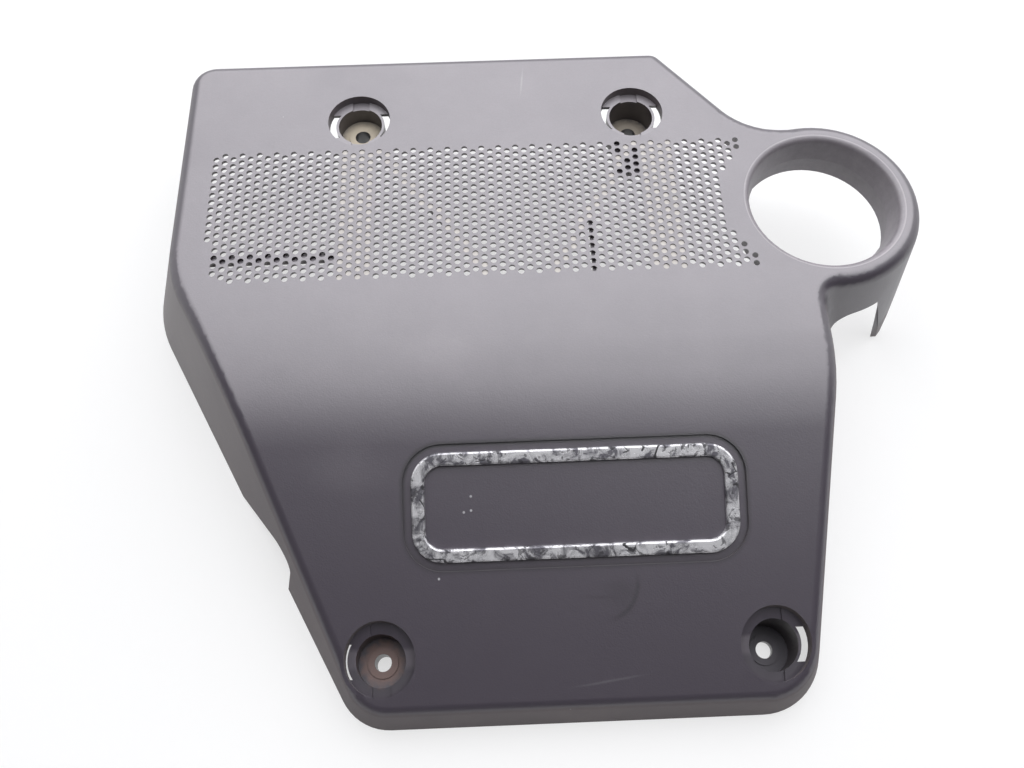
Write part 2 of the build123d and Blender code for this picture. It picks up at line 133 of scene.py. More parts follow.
class FieldSettings(bpy.types.PropertyGroup):
    """The perforated field in the top panel."""

    pitch: length("Pitch", "Step between columns of holes, and between holes of one column", 0.005)
    hole_radius: length("Hole radius", "Radius of one hole", 0.00176)
    hole_flare: length("Hole flare", "How much wider a hole is at its foot", 0.0006)
    hole_sides: IntProperty(name="Hole sides", description="Straight sides of one hole", default=16, min=6)
    columns: IntProperty(name="Columns", description="Columns of holes along X", default=62, min=1)
    rows: IntProperty(name="Rows", description="Holes in each longer column", default=18, min=1)
    middle: place("Middle", "Middle of the field on the panel", (-0.017824, 0.073859, 0.084))
    collar: place("Collar", "Middle of the filler collar", COLLAR_PLACE)
    collar_clearance: length("Collar clearance", "Least distance of a hole from the collar's middle", 0.0583)
    left_lean: angle("Left lean", "Turn of the field's left edge", 12.5)
    left_reach: length("Left reach", "How far the field's left edge lies from its middle", 0.16)
    hole_foot: length("Hole foot", "Height at which a hole ends, just under the panel's skin", 0.0814)
    caked_level: length("Caked level", "Height of the dust in the holes that straps and ribs close", 0.0834)
    caked_left: length("Caked left", "Left bound of the caked holes", -0.117)
    caked_right: length("Caked right", "Right bound of the caked holes", 0.095)
    caked_front: length("Caked front", "Front bound of the caked holes", 0.023)
    caked_rear: length("Caked rear", "Rear bound of the caked holes", 0.125)
    strap_width: length("Strap width", "Width of the two straps under the field", 0.02)
    left_strap: place("Left strap", "Middle of the left strap", (-0.095324, 0.073859, 0.0815))
    right_strap: place("Right strap", "Middle of the right strap", (0.079676, 0.073859, 0.0815))
    cross_strap: place("Cross strap", "Middle of the row that it closes", (-0.1413, 0.0451, 0.0818))
    cross_length: length("Cross strap length", "Length of the cross strap", 0.072)
    cross_reach: length("Cross strap reach", "How far from its middle the cross strap closes a hole", 0.0016)
    rib_foot: length("Rib foot", "Height of the ribs' feet in the packed model", 0.0735)
    rib_lift: length("Rib lift", "How much shallower the ribs show through the holes", 0.0055)
    rib_reach: length("Rib reach", "How far from a slanting rib's middle a hole is closed", 0.0026)
    left_rib_head: place("Left rib head", "Rear end of the left rib", (-0.085324, 0.120359, 0.0815))
    left_rib_foot: place("Left rib foot", "Front end of the left rib", (-0.017824, 0.028859, 0.0815))
    right_rib_head: place("Right rib head", "Rear end of the right rib", (0.068176, 0.120359, 0.0815))
    right_rib_foot: place("Right rib foot", "Front end of the right rib", (0.014176, 0.028859, 0.0815))


class PlasticSettings(bpy.types.PropertyGroup):
    """The moulding's grained plastic, its dust and its stains, with painted sheen and painted shade."""

    body: colour("Body", "Colour of the clean plastic", (0.054, 0.043, 0.062))
    # The dust colour also paints the sheen on level faces and in the patches at the bend and on the slope.
    dust: colour("Dust", "Colour of the dust film", (0.42, 0.385, 0.41))
    tan: colour("Tan dirt", "Caked dirt in the rear pots", (0.56, 0.49, 0.38))
    caked: colour("Caked dust", "Dust in the closed holes of the field", (0.56, 0.525, 0.48))
    brown: colour("Brown dirt", "Thin dirt on the steep sides", (0.150, 0.118, 0.115))
    rust: colour("Rust", "Rust stain in the left front pot", (0.16, 0.075, 0.05))
    # Colour of oily smears, of the grain's dark flecks and of the dirt on the pots' floors, and also of the
    # painted shade in the badge recess, on the pots' walls and in the bolt holes.
    dark_and_shade: colour("Smear", "Oily smears", (0.012, 0.011, 0.014))
    pale: colour("Pale mark", "Scratches, specks and pale smudges", (0.62, 0.61, 0.62))
    roughness: share("Roughness", "Roughness of the clean plastic", 0.4)
    side_roughness: share("Side roughness", "Roughness of the steep sides towards the front", 0.8)
    floor_roughness: share("Pot floor roughness", "Roughness of the dirty floors of the pots", 0.75)
    pot_roughness: share("Pot roughness", "Roughness of the smoother plastic inside the pots", 0.35)
    specular: share("Specular", "Strength of the plastic's sheen", 1.0)
    refraction: FloatProperty(name="Refraction", description="Refractive index", default=1.66, min=1.0)
    # Share of dust on level faces. It also paints the sheen that makes the level rear panel lighter than the
    # slope.
    level_dust_and_sheen: share("Film", "Dust on level faces", 0.41)
    grain_size: length("Grain size", "Size of the moulded grain", 0.0009)
    grain_depth: length("Grain depth", "Depth of the moulded grain", 0.00006)
    collar: place("Collar", "Middle of the filler collar", COLLAR_PLACE)
    collar_radius: length("Collar radius", "Radius of the funnel inside the collar", 0.0462)


class PotSettings(bpy.types.PropertyGroup):
    """The four fixing pots and the shelf in one of them."""

    mouth_radius: length("Mouth radius", "Radius of a fixing pot's mouth", 0.0184)
    # The painted shade in and round a bolt hole reaches this far.
    bolt_radius: length("Bolt radius", "Radius of a bolt hole and the grime at its edge", 0.0047)
    floor_reach: length("Floor reach", "How far from a pot's middle its floor is darkened", 0.022)
    tan_reach: length("Tan reach", "How far the tan dirt reaches in the rear pots", 0.0165)
    rust_reach: length("Rust reach", "How far the rust stain reaches in the front left pot", 0.014)
    rear_left: place("Rear left pot", "Mouth of the rear left pot", (-0.095324, 0.139859, 0.084))
    rear_right: place("Rear right pot", "Mouth of the rear right pot", (0.068176, 0.139859, 0.084))
    front_left: place("Front left pot", "Mouth of the front left pot", (-0.083824, -0.164641, 0.0305))
    front_right: place("Front right pot", "Mouth of the front right pot", (0.120876, -0.164641, 0.0305))
    ledge_depth: length("Ledge depth", "Depth of the ledge in a pot, square to the panel", 0.005)
    shelf_inner: length("Shelf inner radius", "Where the shelf starts, in the cup's wall", 0.0137)
    shelf_outer: length("Shelf outer radius", "Where the shelf ends, so that a slot stays open", 0.0174)
    shelf_turn: angle("Shelf turn", "Turn of the shelf to each side of its middle", 40.0)
    shelf_sink: length("Shelf sink", "How far the shelf's top lies under the ledge's", 0.00015)
    shelf_thickness: length("Shelf thickness", "Thickness of the shelf", 0.0016)


class BadgeSettings(bpy.types.PropertyGroup):
    """The badge frame and its flaking chrome."""

    middle: place("Middle", "Middle of the badge on the sloping face", (0.020176, -0.093141, 0.056474))
    slope: angle("Slope", "Slope of the face that carries the badge", 20.0)
    outer_length: length("Length", "Length of the frame", 0.171)
    outer_height: length("Height", "Height of the frame", 0.057)
    corner_round: length("Corner round", "Round of the frame's outer corners", 0.016)
    band: length("Band", "Width of the frame's band", 0.007)
    thickness: length("Thickness", "Thickness of the frame", 0.0026)
    crown: length("Crown", "Round along the band's edges", 0.0012)
    sink: length("Sink", "Depth of the recess that the frame lies in", 0.0014)
    recess_margin: length("Recess margin", "Width of the recess round the frame", 0.0045)
    pin_radius: length("Pin radius", "Radius of the pins behind the frame", 0.0018)
    pin_length: length("Pin length", "Length of the pins behind the frame", 0.007)
    flake_depth: length("Flake depth", "How far the plating stands over the bare plastic", 0.00004)
    metal: colour("Metal", "Colour of sound chrome", (0.88, 0.87, 0.89))
    dull: colour("Dull metal", "Colour of worn chrome", (0.15, 0.145, 0.165))
    bare: colour("Bare plastic", "Colour where the chrome has come off", (0.03, 0.028, 0.032))


class StageSettings(bpy.types.PropertyGroup):
    """Floor, light and camera."""

    floor_size: length("Floor size", "Side of the square floor", 9.0)
    floor_colour: colour("Floor", "Colour of the floor", (0.95, 0.95, 0.95))
    floor_gap: length("Floor gap", "How far the floor lies under the cover's foot", 0.0002)
    glow: share("Floor glow", "How much of the floor's white stays in the shade", 0.62)
    window_place: place("Window", "Middle of the large soft light behind the cover", (0.2, 0.79, 1.55))
    window_width: length("Window width", "Width of the large soft light", 3.2)
    window_height: length("Window height", "Height of the large soft light", 2.5)
    window_power: FloatProperty(
        name="Window power", description="Power of the large soft light", default=66.0, unit="POWER"
    )
    window_tint: colour("Window tint", "Colour of the large soft light", (0.965, 0.97, 1.0))
    room: share("Room light", "Level of the light from all round", 0.1)
    wall_reach: length("Wall reach", "How far from the cover the low rear wall stands", 2.6)
    wall_height: length("Wall height", "Height of the low rear wall", 2.0)
    camera_place: place("Camera", "Place of the camera", (-0.017158, -0.22267, 0.50004))
    camera_turn: FloatVectorProperty(
        name="Camera turn",
        description="Turn of the camera about X, Y and Z",
        default=(radians(24.1212), radians(0.1131), radians(-2.2456)),
        subtype="EULER",
    )
    lens: FloatProperty(name="Lens", description="Focal length in millimetres", default=30.9375, min=1.0)


class Signal:
    """Output of a node. Arithmetic on it adds Math nodes to its material."""

    def __init__(self, finish, socket):
        self.finish = finish
        self.socket = socket

    def math(self, operation, first, second=0.0):
        return self.finish.node("ShaderNodeMath", {"operation": operation}, {0: first, 1: second})

    def __add__(self, other):
        return self.math("ADD", self, other)

    def __radd__(self, other):
        return self.math("ADD", other, self)

    def __sub__(self, other):
        return self.math("SUBTRACT", self, other)

    def __rsub__(self, other):
        return self.math("SUBTRACT", other, self)

    def __mul__(self, other):
        return self.math("MULTIPLY", self, other)

    def __rmul__(self, other):
        return self.math("MULTIPLY", other, self)

    def at_most(self, other):
        return self.math("MINIMUM", self, other)

    def at_least(self, other):
        return self.math("MAXIMUM", self, other)

    def size(self):
        return self.math("ABSOLUTE", self)


class Finish:
    """Material or world that is built up node by node."""

    def __init__(self, owner):
        owner.use_nodes = True
        self.owner = owner
        self.tree = owner.node_tree
        self.tree.nodes.clear()

    def node(self, kind, settings=None, sockets=None, output=0):
        """Adds a node, sets it up, fills or links its sockets and returns one of its outputs, if any."""
        made = self.tree.nodes.new(kind)
        for key, value in (settings or {}).items():
            setattr(made, key, value)
        for key, value in (sockets or {}).items():
            if isinstance(value, Signal):
                self.tree.links.new(value.socket, made.inputs[key])
            else:
                made.inputs[key].default_value = value
        return Signal(self, made.outputs[output]) if made.outputs else None

    def position(self):
        return self.node("ShaderNodeTexCoord", output="Object")

    def along(self, vector, axis):
        return self.node("ShaderNodeSeparateXYZ", sockets={0: vector}, output=axis)

    def facing_up(self):
        """How far a face looks up, from -1 to 1."""
        return self.along(self.node("ShaderNodeNewGeometry", output="Normal"), "Z")

    def stretched(self, vector, scale):
        return self.node("ShaderNodeVectorMath", {"operation": "MULTIPLY"}, {0: vector, 1: scale})

    def noise(self, vector, size, detail=2.0, roughness=0.5, distortion=0.0):
        """Cloudy noise whose lumps are about as large as size."""
        sockets = {
            "Vector": vector,
            "Scale": 1.0 / size,
            "Detail": detail,
            "Roughness": roughness,
            "Distortion": distortion,
        }
        return self.node("ShaderNodeTexNoise", sockets=sockets)

    def cells(self, vector, size, feature="F1", output="Distance"):
        sockets = {"Vector": vector, "Scale": 1.0 / size}
        return self.node("ShaderNodeTexVoronoi", {"feature": feature}, sockets, output)

    def rise(self, value, low, high):
        """Soft step from 0 at low to 1 at high."""
        settings = {"interpolation_type": "SMOOTHSTEP", "clamp": True}
        return self.node("ShaderNodeMapRange", settings, {0: value, 1: low, 2: high, 3: 0.0, 4: 1.0})

    def fall(self, value, low, high):
        """Soft step from 1 at low to 0 at high."""
        return 1.0 - self.rise(value, low, high)

    def between(self, value, low, high, soft):
        """One between two bounds, with soft ends."""
        return self.rise(value, low - soft, low + soft) * self.fall(value, high - soft, high + soft)

    def level(self):
        """One on faces that lie about level, nothing on steep ones."""
        return self.rise(self.facing_up(), 0.3, 0.8)

    def mix(self, factor, first, second):
        """Colour between two colours."""
        ends = [tuple(end) + (1.0,) if not isinstance(end, Signal) else end for end in (first, second)]
        settings = {"data_type": "RGBA"}
        return self.node("ShaderNodeMix", settings, {0: factor, 6: ends[0], 7: ends[1]}, output=2)

    def distance(self, vector, middle, scale=(1.0, 1.0, 1.0)):
        """Distance from a place, with each axis scaled."""
        offset = self.node("ShaderNodeVectorMath", {"operation": "SUBTRACT"}, {0: vector, 1: middle})
        scaled = self.stretched(offset, scale)
        return self.node("ShaderNodeVectorMath", {"operation": "LENGTH"}, {0: scaled}, output="Value")

    def patch(self, vector, middle, reach, ragged=0.0, grain=0.004, core=0.55):
        """Soft oval patch around a place, with a ragged edge."""
        far = self.distance(vector, middle, tuple(1.0 / side for side in reach))
        if ragged:
            far = far + (self.noise(vector, grain, 4.0, 0.6) - 0.5) * ragged
        return self.fall(far, core, 1.0)

    def bump(self, height, depth, strength=1.0):
        sockets = {"Strength": strength, "Distance": depth, "Height": height}
        return self.node("ShaderNodeBump", sockets=sockets)

    def principled(self, sockets):
        """Ends the material in one Principled shader."""
        self.surface(self.node("ShaderNodeBsdfPrincipled", sockets=sockets))

    def surface(self, shader, kind="ShaderNodeOutputMaterial"):
        self.node(kind, sockets={"Surface": shader})


def within(finish, here, middle, radius):
    """One inside an upright round hole, nothing outside it."""
    return finish.fall(finish.distance(here, middle, (1.0, 1.0, 0.0)), radius - 0.0002, radius)


def pot_dirt(finish, here, middle, reach, ragged):
    """Dirt on the floor of one fixing pot."""
    flat = finish.stretched(here, (1.0, 1.0, 0.0))
    lies = finish.patch(flat, (middle[0], middle[1], 0.0), (reach, reach, 1.0), ragged)
    deep = finish.fall(finish.along(here, "Z"), middle[2] - 0.008, middle[2] - 0.006)
    return lies * deep * finish.level()


def ledge_dust(finish, here, middle, radius):
    """Dust on the ledge that runs round inside one fixing pot."""
    depth = middle[2] - finish.along(here, "Z")
    by_ledge = finish.rise(depth, 0.003, 0.004) * finish.fall(depth, 0.006, 0.0075)
    return within(finish, here, middle, radius) * by_ledge * finish.level()


def stroke(finish, here, start, end, width):
    """Thin straight mark between two places on the panel."""
    start = Vector(start)
    run = Vector(end) - start
    sockets = {"Vector": here, "Location": start + run / 2, "Rotation": (0.0, 0.0, atan2(run.y, run.x))}
    mapped = finish.node("ShaderNodeMapping", {"vector_type": "TEXTURE"}, sockets)
    return finish.patch(mapped, (0.0, 0.0, 0.0), (run.length / 2, width, 0.02), 0.5, 0.002, 0.1)


def oily_trace(finish, here):
    """Thin oily trace that bends round under the badge, with a wiped line that runs into it."""
    off_trace = (finish.distance(here, TRACE_MIDDLE, (1.0, 1.0, 0.0)) - TRACE_RADIUS).size()
    wobble = (finish.noise(here, 0.004, 3.0) - 0.5) * 0.0016
    trace = finish.fall(off_trace + wobble, 0.0002, 0.002)
    trace = trace * finish.rise(finish.along(here, "X"), 0.031, 0.044)
    trace = trace * finish.fall(finish.along(here, "Y"), -0.135, -0.126)
    line = stroke(finish, here, *WIPED_LINE, WIPED_WIDTH)
    haze = finish.patch(here, HAZE_MIDDLE, HAZE_REACH, 0.9, 0.008, 0.1)
    return (trace * 0.55 + line * 0.3 + haze * 0.22) * finish.rise(finish.facing_up(), 0.6, 0.8)


def pale_marks(finish, here):
    """Scratches and specks of light dust."""
    marks = stroke(finish, here, *REAR_SCRATCH, SCRATCH_WIDTH) * 0.16
    marks = marks + stroke(finish, here, *FRONT_SCRATCH, SCRATCH_WIDTH) * 0.08
    for middle in DUST_SPOTS:
        marks = marks + finish.patch(here, middle, DUST_SPOT_REACH) * 0.7
    specks = finish.fall(finish.cells(here, SPECK_SPACING), 0.02, 0.045)
    rare = finish.rise(finish.along(finish.cells(here, SPECK_SPACING, output="Color"), "X"), 0.9, 0.93)
    return (marks + specks * rare * 0.35).at_most(1.0) * finish.rise(finish.facing_up(), 0.2, 0.5)


def caked_holes(finish, here, field):
    """One on the level dust in the closed holes of the perforated field."""
    height = finish.along(here, "Z")
    at_level = finish.between(height, field.caked_level - 0.0003, field.caked_level + 0.0003, 0.0001)
    across = finish.between(finish.along(here, "X"), field.caked_left, field.caked_right, 0.001)
    along = finish.between(finish.along(here, "Y"), field.caked_front, field.caked_rear, 0.001)
    return at_level * across * along * finish.level()


def recess_shade(finish, here, badge):
    """Painted shade along the edge of the recess that the badge lies in, strongest along its upper side."""
    turn = (badge.slope, 0.0, 0.0)
    sockets = {"Vector": here, "Location": badge.middle, "Rotation": turn}
    mapped = finish.node("ShaderNodeMapping", {"vector_type": "TEXTURE"}, sockets)
    across = finish.along(mapped, "X").size() - (badge.outer_length / 2 - badge.corner_round)
    upward = finish.along(mapped, "Y").size() - (badge.outer_height / 2 - badge.corner_round)
    sides = {"X": across.at_least(0.0), "Y": upward.at_least(0.0)}
    corner = finish.node("ShaderNodeCombineXYZ", sockets=sides)
    from_badge = finish.distance(corner, (0.0, 0.0, 0.0)) - badge.corner_round
    off_edge = (from_badge - badge.recess_margin).size()
    upper = 0.55 + finish.rise(finish.along(mapped, "Y"), -0.02, 0.03) * 0.45
    near = finish.fall(finish.along(mapped, "Z").size(), 0.004, 0.006)
    return finish.fall(off_edge, 0.0004, 0.0024) * upper * near


def grained_plastic(plastic, fixings, field, badge):
    """Dark grained plastic under a thin coat of dust that also paints the sheen of level faces, with stains
    in the pots, a few marks, and painted shade in the badge recess, on the pots' walls and in the bolt
    holes.
    """
    finish = Finish(bpy.data.materials.new("grained_plastic"))
    here = finish.position()
    up = finish.facing_up()
    clouds = finish.noise(here, 0.05, 4.0, 0.55)
    mottle = finish.noise(here, 0.006, 4.0, 0.6)
    grain = finish.noise(here, plastic.grain_size, 2.0, 0.55)

    dust_in_pots = (
        (fixings.rear_left, 0.5),
        (fixings.rear_right, 0.5),
        (fixings.front_left, 0.2),
        (fixings.front_right, 0.2),
    )
    pots = bore_shade = floors = ledges = 0.0
    for middle, dust in dust_in_pots:
        pots = pots + within(finish, here, middle, fixings.mouth_radius)
        bore_shade = bore_shade + within(finish, here, middle, fixings.bolt_radius)
        floors = floors + pot_dirt(finish, here, middle, fixings.floor_reach, 0.0)
        ledges = ledges + ledge_dust(finish, here, middle, fixings.mouth_radius) * dust

    # Dust on level faces, which also paints their sheen, so the level rear panel is lighter than the slope.
    level_dust_and_sheen = finish.rise(up, 0.93, 1.0) * (0.6 + clouds * 0.8) * (1.0 - pots) * plastic.level_dust_and_sheen
    foot = finish.fall(finish.along(here, "Z"), 0.002, 0.02) * finish.rise(clouds, 0.45, 0.7) * 0.06
    # The inside of the funnel is made lighter, with the dust colour.
    funnel = within(finish, here, plastic.collar, plastic.collar_radius) * (0.5 + mottle) * 0.45
    # Painted sheen: paler patches at the bend and on the slope.
    painted_sheen = finish.patch(here, *BEND_SHEEN, 1.4, 0.02, 0.0) * 0.1
    painted_sheen = painted_sheen + finish.patch(here, *SLOPE_SHEEN, 0.8, 0.02, 0.0) * 0.06
    dust_and_sheen = (level_dust_and_sheen + foot + funnel + painted_sheen + ledges).at_most(1.0)
    by_collar = within(finish, here, plastic.collar, plastic.collar_radius + 0.02)
    steep = finish.fall(up, 0.45, 0.75) * (1.0 - by_collar)
    tone = finish.mix(steep * (0.3 + clouds * 0.6), plastic.body, plastic.brown)
    tone = finish.mix(dust_and_sheen, tone, plastic.dust)
    tone = finish.mix((grain - 0.5) * 0.16 + 0.08, tone, plastic.dark_and_shade)

    # Oily smears, and painted shade along the badge recess.
    smear_and_recess_shade = oily_trace(finish, here) + recess_shade(finish, here, badge) * 0.75
    tone = finish.mix(smear_and_recess_shade.at_most(1.0), tone, plastic.dark_and_shade)
    tone = finish.mix(pale_marks(finish, here), tone, plastic.pale)
    caked = caked_holes(finish, here, field)
    tone = finish.mix(caked * (0.6 + mottle * 0.6), tone, plastic.caked)

    # Dirt darkens the pots' floors, and painted shade darkens the steep walls inside the pots.
    tone = finish.mix(floors * 0.4 + pots * finish.fall(up, 0.2, 0.6) * 0.5, tone, plastic.dark_and_shade)
    left_rear = pot_dirt(finish, here, fixings.rear_left, fixings.tan_reach, 0.25)
    right_rear = pot_dirt(finish, here, fixings.rear_right, fixings.tan_reach, 0.7)
    left_front = pot_dirt(finish, here, fixings.front_left, fixings.rust_reach, 0.8)
    tone = finish.mix(left_rear * 0.9, tone, plastic.tan)
    tone = finish.mix(right_rear * 0.5, tone, plastic.tan)
    tone = finish.mix(left_front * 0.65, tone, plastic.rust)

    # Painted shade in the bolt holes and round their edges.
    tone = finish.mix(bore_shade * 0.8, tone, plastic.dark_and_shade)
    smoother = pots * (plastic.pot_roughness - plastic.roughness)
    frontward = 0.35 + finish.fall(finish.along(here, "Y"), -0.13, 0.03) * 0.65
    rougher = steep * (1.0 - pots) * frontward * (plastic.side_roughness - plastic.roughness)
    rougher = rougher + floors * (plastic.floor_roughness - plastic.pot_roughness)
    dry = (dust_and_sheen + caked + left_rear + right_rear).at_most(1.0)
    rough = plastic.roughness + smoother + rougher + dry * 0.25 + (mottle - 0.5) * 0.06
    relief = (grain + finish.noise(here, plastic.grain_size * 3.0, 2.0) * 0.5) * (1.0 - pots)
    finish.principled(
        {
            "Base Color": tone,
            "Roughness": rough,
            "IOR": plastic.refraction,
            "Specular IOR Level": plastic.specular,
            "Normal": finish.bump(relief, plastic.grain_depth),
        }
    )
    return finish.owner


def flaking_chrome(badge):
    """Chrome on plastic: dull clouds, cracks across the band and spots where the plating has gone."""
    finish = Finish(bpy.data.materials.new("flaking_chrome"))
    here = finish.position()
    dull = finish.rise(finish.noise(here, 0.009, 6.0, 0.65, 0.8), 0.42, 0.6)
    worn = finish.rise(finish.noise(here, 0.006, 5.0, 0.62, 1.2), 0.55, 0.6)
    crack = finish.fall(finish.cells(here, 0.016, "DISTANCE_TO_EDGE"), 0.008, 0.03)
    crack = crack * finish.rise(finish.noise(here, 0.014, 3.0), 0.54, 0.6)
    bare = (worn * 0.8 + crack).at_most(1.0)
    tone = finish.mix(dull, badge.metal, badge.dull)
    tone = finish.mix(bare, tone, badge.bare)
    scratches = finish.noise(finish.stretched(here, (1.0, 0.25, 1.0)), 0.0012, 3.0, 0.7)
    relief = (1.0 - bare) + scratches * 0.2
    finish.principled(
        {
            "Base Color": tone,
            "Metallic": (1.0 - bare) * (0.5 + dull * 0.25),
            "Roughness": 0.2 + dull * 0.2 + bare * 0.3 + scratches * 0.08,
            "Normal": finish.bump(relief, badge.flake_depth),
        }
    )
    return finish.owner


def hole_places(field):
    """Middle of each hole: staggered columns, trimmed along the left edge and round the collar."""
    lean = field.left_lean
    middle_column = field.columns // 2 + 1
    for column in range(field.columns):
        short = 1 - column % 2
        x = (column - middle_column) * field.pitch
        for row in range(field.rows - short):
            y = ((field.rows - 1 - short) / 2 - row) * field.pitch
            spot = Vector((field.middle[0] + x, field.middle[1] + y))
            from_collar = hypot(spot.x - field.collar[0], spot.y - field.middle[1])
            from_left = -x * cos(lean) - y * sin(lean)
            if from_collar >= field.collar_clearance and from_left <= field.left_reach:
                yield spot


def is_caked(field, spot):
    """Whether a strap or a slanting rib closes a hole."""
    straps = (field.left_strap, field.right_strap)
    if any(abs(spot.x - strap[0]) < field.strap_width / 2 for strap in straps):
        return True
    ribs = ((field.left_rib_head, field.left_rib_foot), (field.right_rib_head, field.right_rib_foot))
    for head, foot in ribs:
        nearest, share_along = intersect_point_line(spot, Vector(head).to_2d(), Vector(foot).to_2d())
        if 0.0 <= share_along <= 1.0 and (nearest.to_2d() - spot).length < field.rib_reach:
            return True
    return False


def is_shut(field, spot):
    """Whether the cross strap shuts a hole at its foot."""
    along = abs(spot.x - field.cross_strap[0]) < field.cross_length / 2
    return along and abs(spot.y - field.cross_strap[1]) < field.cross_reach


def mesh_object(name, shape):
    """Object at the origin that holds a finished bmesh."""
    mesh = bpy.data.meshes.new(name)
    shape.to_mesh(mesh)
    shape.free()
    piece = bpy.data.objects.new(name, mesh)
    bpy.context.scene.collection.objects.link(piece)
    return piece


def add_post(shape, spot, radii, sides, foot, top):
    """Adds an upright closed cone or cylinder, with its radii at the foot and the top."""
    bmesh.ops.create_cone(
        shape,
        cap_ends=True,
        segments=sides,
        radius1=radii[0],
        radius2=radii[1],
        depth=top - foot,
        matrix=Matrix.Translation((spot[0], spot[1], (foot + top) / 2)),
    )


def hole_cutters(field):
    """One mesh of upright cones, one for each hole, which give it its radius at the panel."""
    shape = bmesh.new()
    depth = field.middle[2] - field.hole_foot
    radii = (field.hole_radius + field.hole_flare, field.hole_radius - field.hole_flare)
    for spot in hole_places(field):
        add_post(shape, spot, radii, field.hole_sides, field.hole_foot, field.middle[2] + depth)
    return mesh_object("hole_cutters", shape)


def cut_away(piece, cutter):
    """Cuts one object out of another and removes the cutter."""
    cut = piece.modifiers.new("holes", "BOOLEAN")
    cut.operation = "DIFFERENCE"
    cut.solver = "MANIFOLD"
    cut.object = cutter
    ready = piece.evaluated_get(bpy.context.evaluated_depsgraph_get())
    mesh = bpy.data.meshes.new_from_object(ready)
    if len(mesh.polygons) <= len(piece.data.polygons):
        raise RuntimeError("the perforated field was not cut")
    piece.modifiers.remove(cut)
    piece.data = mesh
    bpy.data.objects.remove(cutter)


def fill_holes(shape, field):
    """Dust in the holes that straps and ribs close, and thin discs where the cross strap shuts them."""
    radii = (field.hole_radius + field.hole_flare, field.hole_radius)
    for spot in hole_places(field):
        if is_caked(field, spot):
            add_post(shape, spot, radii, field.hole_sides, field.hole_foot, field.caked_level)
        elif is_shut(field, spot):
            add_post(shape, spot, radii, field.hole_sides, field.hole_foot, field.cross_strap[2])


def lift_ribs(shape, field):
    """Raises the feet of the ribs under the field."""
    half_width = field.columns * field.pitch / 2
    half_depth = (field.rows + 2) * field.pitch / 2
    feet = [
        vert
        for vert in shape.verts
        if abs(vert.co.z - field.rib_foot) < FOOT_TOLERANCE
        and abs(vert.co.x - field.middle[0]) < half_width
        and abs(vert.co.y - field.middle[1]) < half_depth
    ]
    bmesh.ops.translate(shape, vec=(0.0, 0.0, field.rib_lift), verts=feet)


def add_shelf(shape, fixings, slope):
    """Narrows the window in the front left pot's ledge to a slot along its outer side."""
    shelf = bmesh.new()
    inner, outer = -fixings.shelf_inner, -fixings.shelf_outer
    top = -fixings.shelf_sink
    foot = top - fixings.shelf_thickness
    section = ((inner, foot), (outer, foot), (outer, top), (inner, top))
    corners = [shelf.verts.new((x, 0.0, z)) for x, z in section]
    end = shelf.faces.new(corners)
    bmesh.ops.rotate(shelf, matrix=Matrix.Rotation(-fixings.shelf_turn, 3, "Z"), verts=corners)
    sweep = [end, *end.edges, *corners]
    bmesh.ops.spin(shelf, geom=sweep, axis=(0.0, 0.0, 1.0), angle=2.0 * fixings.shelf_turn, steps=16)
    bmesh.ops.recalc_face_normals(shelf, faces=shelf.faces)
    seat = Vector(fixings.front_left) - Vector((0.0, 0.0, fixings.ledge_depth / cos(slope)))
    lie = Matrix.Translation(seat) @ Matrix.Rotation(slope, 4, "X")
    bmesh.ops.transform(shelf, matrix=lie, verts=shelf.verts)
    mesh = bpy.data.meshes.new("shelf")
    shelf.to_mesh(mesh)
    shelf.free()
    shape.from_mesh(mesh)
    bpy.data.meshes.remove(mesh)


def tidy_flats(shape, least_bend):
    """Joins the triangles of each flat face, so that the flats shade evenly."""
    bmesh.ops.dissolve_limit(
        shape,
        angle_limit=least_bend,
        use_dissolve_boundaries=False,
        verts=shape.verts,
        edges=shape.edges,
    )


def finish_piece(piece, material, node, sharp):
    """Gives smooth shading with sharp edges kept and the material, puts the piece under the root body and
    hides the CAD node that it stands for.
    """
    mesh = piece.data
    mesh.materials.clear()
    mesh.materials.append(material)
    shape = bmesh.new()
    shape.from_mesh(mesh)
    for face in shape.faces:
        face.smooth = True
        face.material_index = 0
    for edge in shape.edges:
        edge.smooth = edge.calc_face_angle(0.0) < sharp
    shape.to_mesh(mesh)
    shape.free()
    even = piece.modifiers.new("even_shading", "WEIGHTED_NORMAL")
    even.keep_sharp = True
    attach(piece, "root")
    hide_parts(node)


class COVER_OT_moulding(bpy.types.Operator):
    """Make the moulding with its whole perforated field"""

    bl_idname = "engine_cover.moulding"
    bl_label = "Moulding"

    def execute(self, context):
        scene = context.scene
        field = scene.cover_field
        badge = scene.cover_badge
        shape = bmesh.new()
        shape.from_mesh(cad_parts["cover"].data)
        bmesh.ops.remove_doubles(shape, verts=shape.verts, dist=SAME_PLACE)
        lift_ribs(shape, field)
        piece = mesh_object("cover_moulding", shape)
        cut_away(piece, hole_cutters(field))
        shape = bmesh.new()
        shape.from_mesh(piece.data)
        tidy_flats(shape, FLAT_BEND)
        fill_holes(shape, field)
        add_shelf(shape, scene.cover_pots, badge.slope)
        shape.to_mesh(piece.data)
        shape.free()
        material = grained_plastic(scene.cover_plastic, scene.cover_pots, field, badge)
        finish_piece(piece, material, "cover", COVER_SHARP)
        return {"FINISHED"}


